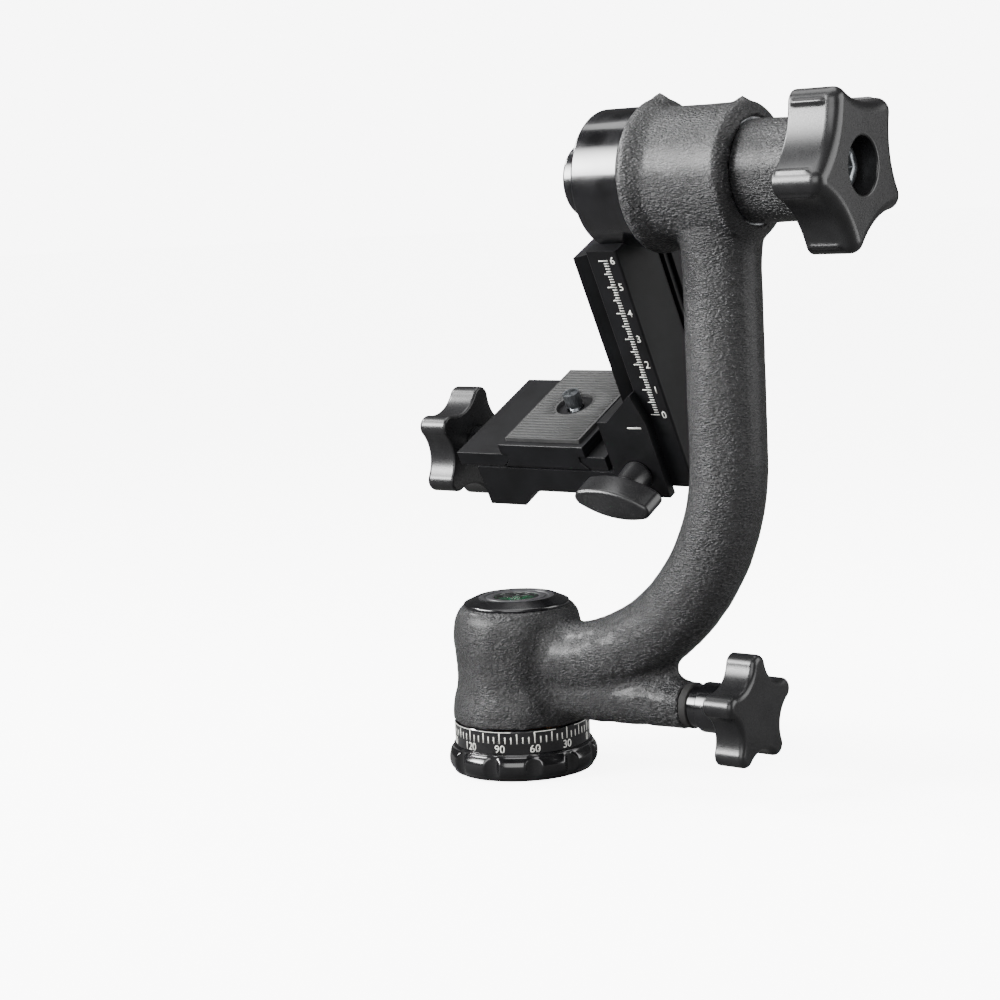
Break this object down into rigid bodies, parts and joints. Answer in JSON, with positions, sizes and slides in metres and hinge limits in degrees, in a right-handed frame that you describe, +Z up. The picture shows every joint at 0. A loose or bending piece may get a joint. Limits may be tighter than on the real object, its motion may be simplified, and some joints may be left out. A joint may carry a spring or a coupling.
{
  "type": "gimbal tripod head",
  "caption": "Side-mount gimbal tripod head: degree-scaled pan base, cast J arm, tilt drum with lobed lock knob, and a scaled rail carrying a quick-release bracket.",
  "frame": {"origin": "centre of the base's bottom face, on the pan axis, at the mouth of the tripod thread", "axes": "+Z up along the pan axis, +X towards the cast arm; the tilt axis is parallel to X at z = 206.3 mm"},
  "size_m": [0.2098, 0.1026, 0.2316],
  "materials": {
    "base_gloss": "gloss black anodised",
    "steel": "turned steel",
    "screw_steel": "zinc plated",
    "bearing_steel": "ground",
    "powder_coat": "black hammered powder coat on cast aluminium",
    "bronze": "machined",
    "black_anodised": "satin black anodised",
    "level_case": "satin",
    "level_green": "clear green",
    "level_air": "clear",
    "level_clear": "polished acrylic",
    "friction_fibre": "pressed fibre",
    "knob_plastic": "satin moulded nylon",
    "rubber": "matt"
  },
  "bodies": {
    "base": {"base_plate": "base_gloss", "thread_bush": "steel", "spindle": "steel", "base_screws": "screw_steel", "scale_ring": "base_gloss", "band_grub": "screw_steel", "thrust_washer": "steel", "pan_inner_race": "bearing_steel", "pan_balls": "bearing_steel", "pan_spring": "steel", "pan_nut": "steel"},
    "arm": {"arm_casting": "powder_coat", "pan_bush": "bronze", "pan_outer_race": "bearing_steel", "cap_ring": "base_gloss", "level_cup": "level_case", "level_liquid": "level_green", "level_bubble": "level_air", "level_lens": "level_clear", "boss_insert": "bronze", "tilt_outer_races": "bearing_steel"},
    "pan_shoe": {"pan_shoe": "bronze"},
    "pan_lock": {"pan_knob": "knob_plastic", "pan_collar": "base_gloss", "lock_washer": "friction_fibre", "pan_stud": "steel"},
    "cradle": {"drum": "base_gloss", "drum_cap": "base_gloss", "tilt_shaft": "steel", "shaft_screws": "screw_steel", "tilt_inner_races": "bearing_steel", "tilt_balls": "bearing_steel", "race_washer": "steel", "friction_disc": "friction_fibre", "rail": "black_anodised", "rail_screws": "screw_steel", "stop_screws": "screw_steel"},
    "tilt_washer": {"tilt_washer": "steel"},
    "tilt_lock": {"tilt_knob": "knob_plastic", "tilt_collar": "black_anodised", "tilt_bolt": "screw_steel", "bolt_washer": "steel"},
    "bracket": {"bracket": "black_anodised", "fixed_jaw": "black_anodised", "jaw_screws": "screw_steel"},
    "gib": {"gib": "bronze"},
    "paddle": {"paddle_knob": "knob_plastic", "paddle_stud": "steel"},
    "clamp_jaw": {"clamp_jaw": "black_anodised", "guide_pins": "steel"},
    "clamp_lock": {"clamp_knob": "knob_plastic", "clamp_collar": "base_gloss", "clamp_stud": "steel"},
    "plate": {"lens_plate": "black_anodised", "plate_pad": "rubber"},
    "camera_screw": {"camera_screw": "screw_steel"}
  },
  "joints": [
    {"name": "pan", "type": "hinge", "parent": "base", "child": "arm", "pos_m": [0, 0, 0], "axis": [0, 0, 1], "continuous": true},
    {"name": "pan_shoe_travel", "type": "slide", "parent": "arm", "child": "pan_shoe", "axis": [1, 0, 0], "range_m": [0, 0.00125]},
    {"name": "pan_knob_turn", "type": "hinge", "parent": "pan_shoe", "child": "pan_lock", "pos_m": [0.09, 0, 0.0295], "axis": [1, 0, 0], "range_deg": [0, 360]},
    {"name": "tilt", "type": "hinge", "parent": "arm", "child": "cradle", "pos_m": [0.06, 0, 0.2063], "axis": [1, 0, 0], "continuous": true},
    {"name": "tilt_washer_travel", "type": "slide", "parent": "cradle", "child": "tilt_washer", "axis": [1, 0, 0], "range_m": [0, 0.00175]},
    {"name": "tilt_knob_turn", "type": "hinge", "parent": "tilt_washer", "child": "tilt_lock", "pos_m": [0.13, 0, 0.2063], "axis": [1, 0, 0], "range_deg": [0, 360]},
    {"name": "bracket_slide", "type": "slide", "parent": "cradle", "child": "bracket", "axis": [0, -0.4453, 0.8954], "range_m": [0, 0.06]},
    {"name": "gib_travel", "type": "slide", "parent": "bracket", "child": "gib", "axis": [0, -0.8954, -0.4453], "range_m": [0, 0.0005]},
    {"name": "paddle_turn", "type": "hinge", "parent": "gib", "child": "paddle", "pos_m": [0.0407, 0.00907, 0.09823], "axis": [0, -0.8954, -0.4453], "range_deg": [0, 180]},
    {"name": "jaw_travel", "type": "slide", "parent": "bracket", "child": "clamp_jaw", "axis": [-1, 0, 0], "range_m": [0, 0.003]},
    {"name": "clamp_knob_turn", "type": "hinge", "parent": "bracket", "child": "clamp_lock", "pos_m": [-0.055, 0.04853, 0.1087], "axis": [-1, 0, 0], "range_deg": [0, 1080]},
    {"name": "plate_slide", "type": "slide", "parent": "bracket", "child": "plate", "axis": [0, 0.8954, 0.4453], "range_m": [-0.02, 0.02]},
    {"name": "camera_screw_turn", "type": "hinge", "parent": "plate", "child": "camera_screw", "pos_m": [0, 0.0423, 0.12124], "axis": [0, -0.4453, 0.8954], "continuous": true}
  ],
  "couplings": [
    {"joint": "pan_knob_turn", "follows": "pan_shoe_travel", "rad_per_m": 5026.4},
    {"joint": "tilt_knob_turn", "follows": "tilt_washer_travel", "rad_per_m": 3590.2},
    {"joint": "paddle_turn", "follows": "gib_travel", "rad_per_m": 6283},
    {"joint": "clamp_knob_turn", "follows": "jaw_travel", "rad_per_m": 6283}
  ]
}
